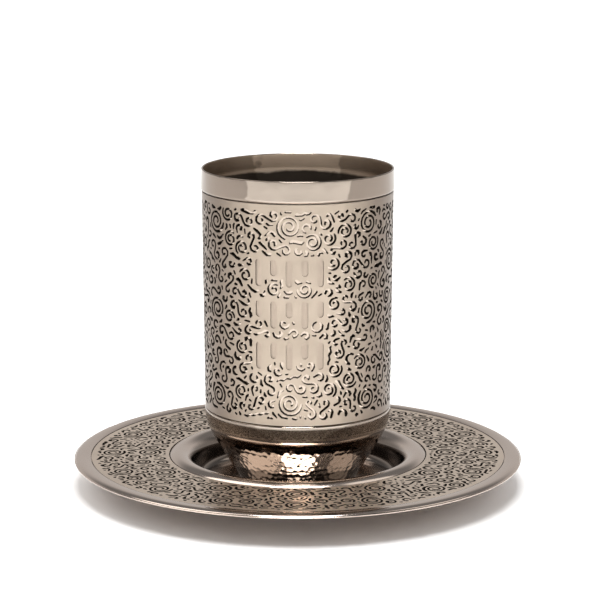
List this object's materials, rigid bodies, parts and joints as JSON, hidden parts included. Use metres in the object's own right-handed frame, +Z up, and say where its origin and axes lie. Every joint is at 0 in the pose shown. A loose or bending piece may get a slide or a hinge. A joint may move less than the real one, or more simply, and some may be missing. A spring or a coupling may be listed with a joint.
{
  "type": "kiddush cup",
  "caption": "Hollow hammered metal cup in a pierced scrollwork sleeve, standing in the well of a matching rimmed plate.",
  "frame": {"origin": "centre of the plate's underside", "axes": "+Z up along the cup's axis, -Y towards the front of the sleeve"},
  "size_m": [0.16, 0.16, 0.1147],
  "materials": {
    "polished_metal": "bright polish, warm nickel tone",
    "hammered_metal": "hammered and polished, warm nickel tone",
    "pierced_metal": "satin, pierced all over"
  },
  "bodies": {
    "root": {"plate": "polished_metal", "pierced_plate_ring": "pierced_metal", "cup_body": "hammered_metal", "pierced_sleeve": "pierced_metal"}
  },
  "joints": []
}
